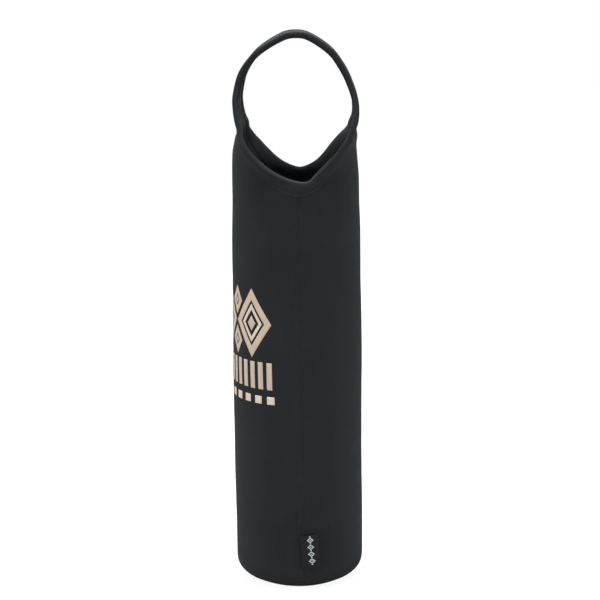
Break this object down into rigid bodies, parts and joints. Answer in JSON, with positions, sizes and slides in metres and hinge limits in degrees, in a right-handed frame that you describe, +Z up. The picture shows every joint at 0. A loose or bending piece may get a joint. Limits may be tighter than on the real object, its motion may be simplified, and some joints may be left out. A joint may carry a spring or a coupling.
{
  "type": "bottle cooler sleeve",
  "caption": "Tall round foam-laminate sleeve that insulates one bottle, with an arched loop handle over two side notches and a folded side label.",
  "frame": {"origin": "centre of the underside of the round base, where the sleeve stands", "axes": "+Z up along the bore to the crown of the handle; -Y out of the front panel; +X out of the side seam that holds the label"},
  "size_m": [0.0834, 0.0812, 0.3565],
  "materials": {
    "outer_jersey": "matte knitted jersey, black",
    "foam_core": "closed-cell foam, black",
    "lining": "matte knitted jersey, near black",
    "binding": "stretch tape, black",
    "thread": "polyester thread, black",
    "label": "woven ribbon, black"
  },
  "bodies": {
    "sleeve": {"front_outer_jersey": "outer_jersey", "front_foam_core": "foam_core", "front_lining": "lining", "back_outer_jersey": "outer_jersey", "back_foam_core": "foam_core", "back_lining": "lining", "base_outer_jersey": "outer_jersey", "base_foam_core": "foam_core", "base_lining": "lining", "right_edge_binding": "binding", "left_edge_binding": "binding", "right_binding_thread": "thread", "left_binding_thread": "thread", "right_side_seam_thread": "thread", "left_side_seam_thread": "thread", "base_seam_thread": "thread", "crown_seam_thread": "thread"},
    "label": {"side_label": "label"}
  },
  "joints": [
    {"name": "label_flap", "type": "hinge", "parent": "sleeve", "child": "label", "pos_m": [0.04135, 0, 0.0275], "axis": [0, 0, -1], "range_deg": [-5, 185]}
  ]
}
